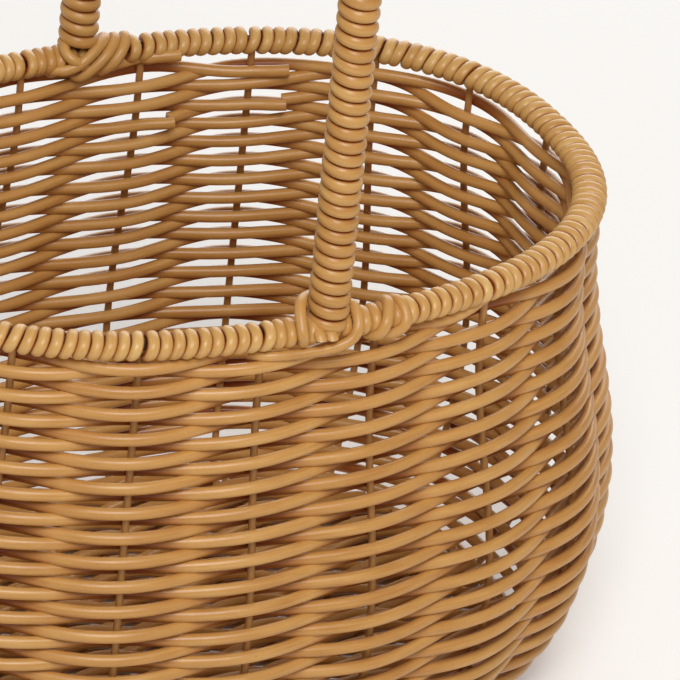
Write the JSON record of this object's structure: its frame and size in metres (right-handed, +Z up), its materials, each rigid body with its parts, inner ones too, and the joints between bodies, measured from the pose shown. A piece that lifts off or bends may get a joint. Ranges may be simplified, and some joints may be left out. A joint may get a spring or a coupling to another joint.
{
  "type": "basket",
  "caption": "Oval shopping basket woven from plastic cane on a wire frame, open at the top, with a bound rim and one fixed arch handle lashed across it.",
  "frame": {"origin": "centre of the footprint, on the floor under the foot wire", "axes": "+X along the long axis of the oval, +Y across it in the plane of the handle, +Z up"},
  "size_m": [0.3483, 0.2612, 0.4349],
  "materials": {
    "cane": "satin",
    "cane_light": "satin",
    "coated_wire": "satin",
    "steel_wire": "satin"
  },
  "bodies": {
    "root": {"rim_wire": "steel_wire", "foot_wire": "cane", "stake_01": "coated_wire", "stake_02": "coated_wire", "stake_03": "coated_wire", "stake_04": "coated_wire", "stake_05": "coated_wire", "stake_06": "coated_wire", "stake_07": "coated_wire", "stake_08": "coated_wire", "stake_09": "coated_wire", "stake_10": "coated_wire", "stake_11": "coated_wire", "stake_12": "coated_wire", "stake_13": "coated_wire", "stake_14": "coated_wire", "stake_15": "coated_wire", "stake_16": "coated_wire", "stake_17": "coated_wire", "stake_18": "coated_wire", "weaver_a_01": "cane", "weaver_a_02": "cane", "weaver_a_03": "cane", "weaver_a_04": "cane", "weaver_a_05": "cane", "weaver_b_01": "cane_light", "weaver_b_02": "cane_light", "weaver_b_03": "cane_light", "weaver_b_04": "cane_light", "weaver_b_05": "cane_light", "base_wire_01": "coated_wire", "base_wire_02": "coated_wire", "base_wire_03": "coated_wire", "base_wire_04": "coated_wire", "base_wire_05": "coated_wire", "base_wire_06": "coated_wire", "base_wire_07": "coated_wire", "base_strand": "cane", "rim_binding_right": "cane_light", "rim_binding_left": "cane_light", "handle_core": "steel_wire", "handle_binding": "cane", "foot_lashing_front": "cane", "foot_lashing_back": "cane"}
  },
  "joints": []
}
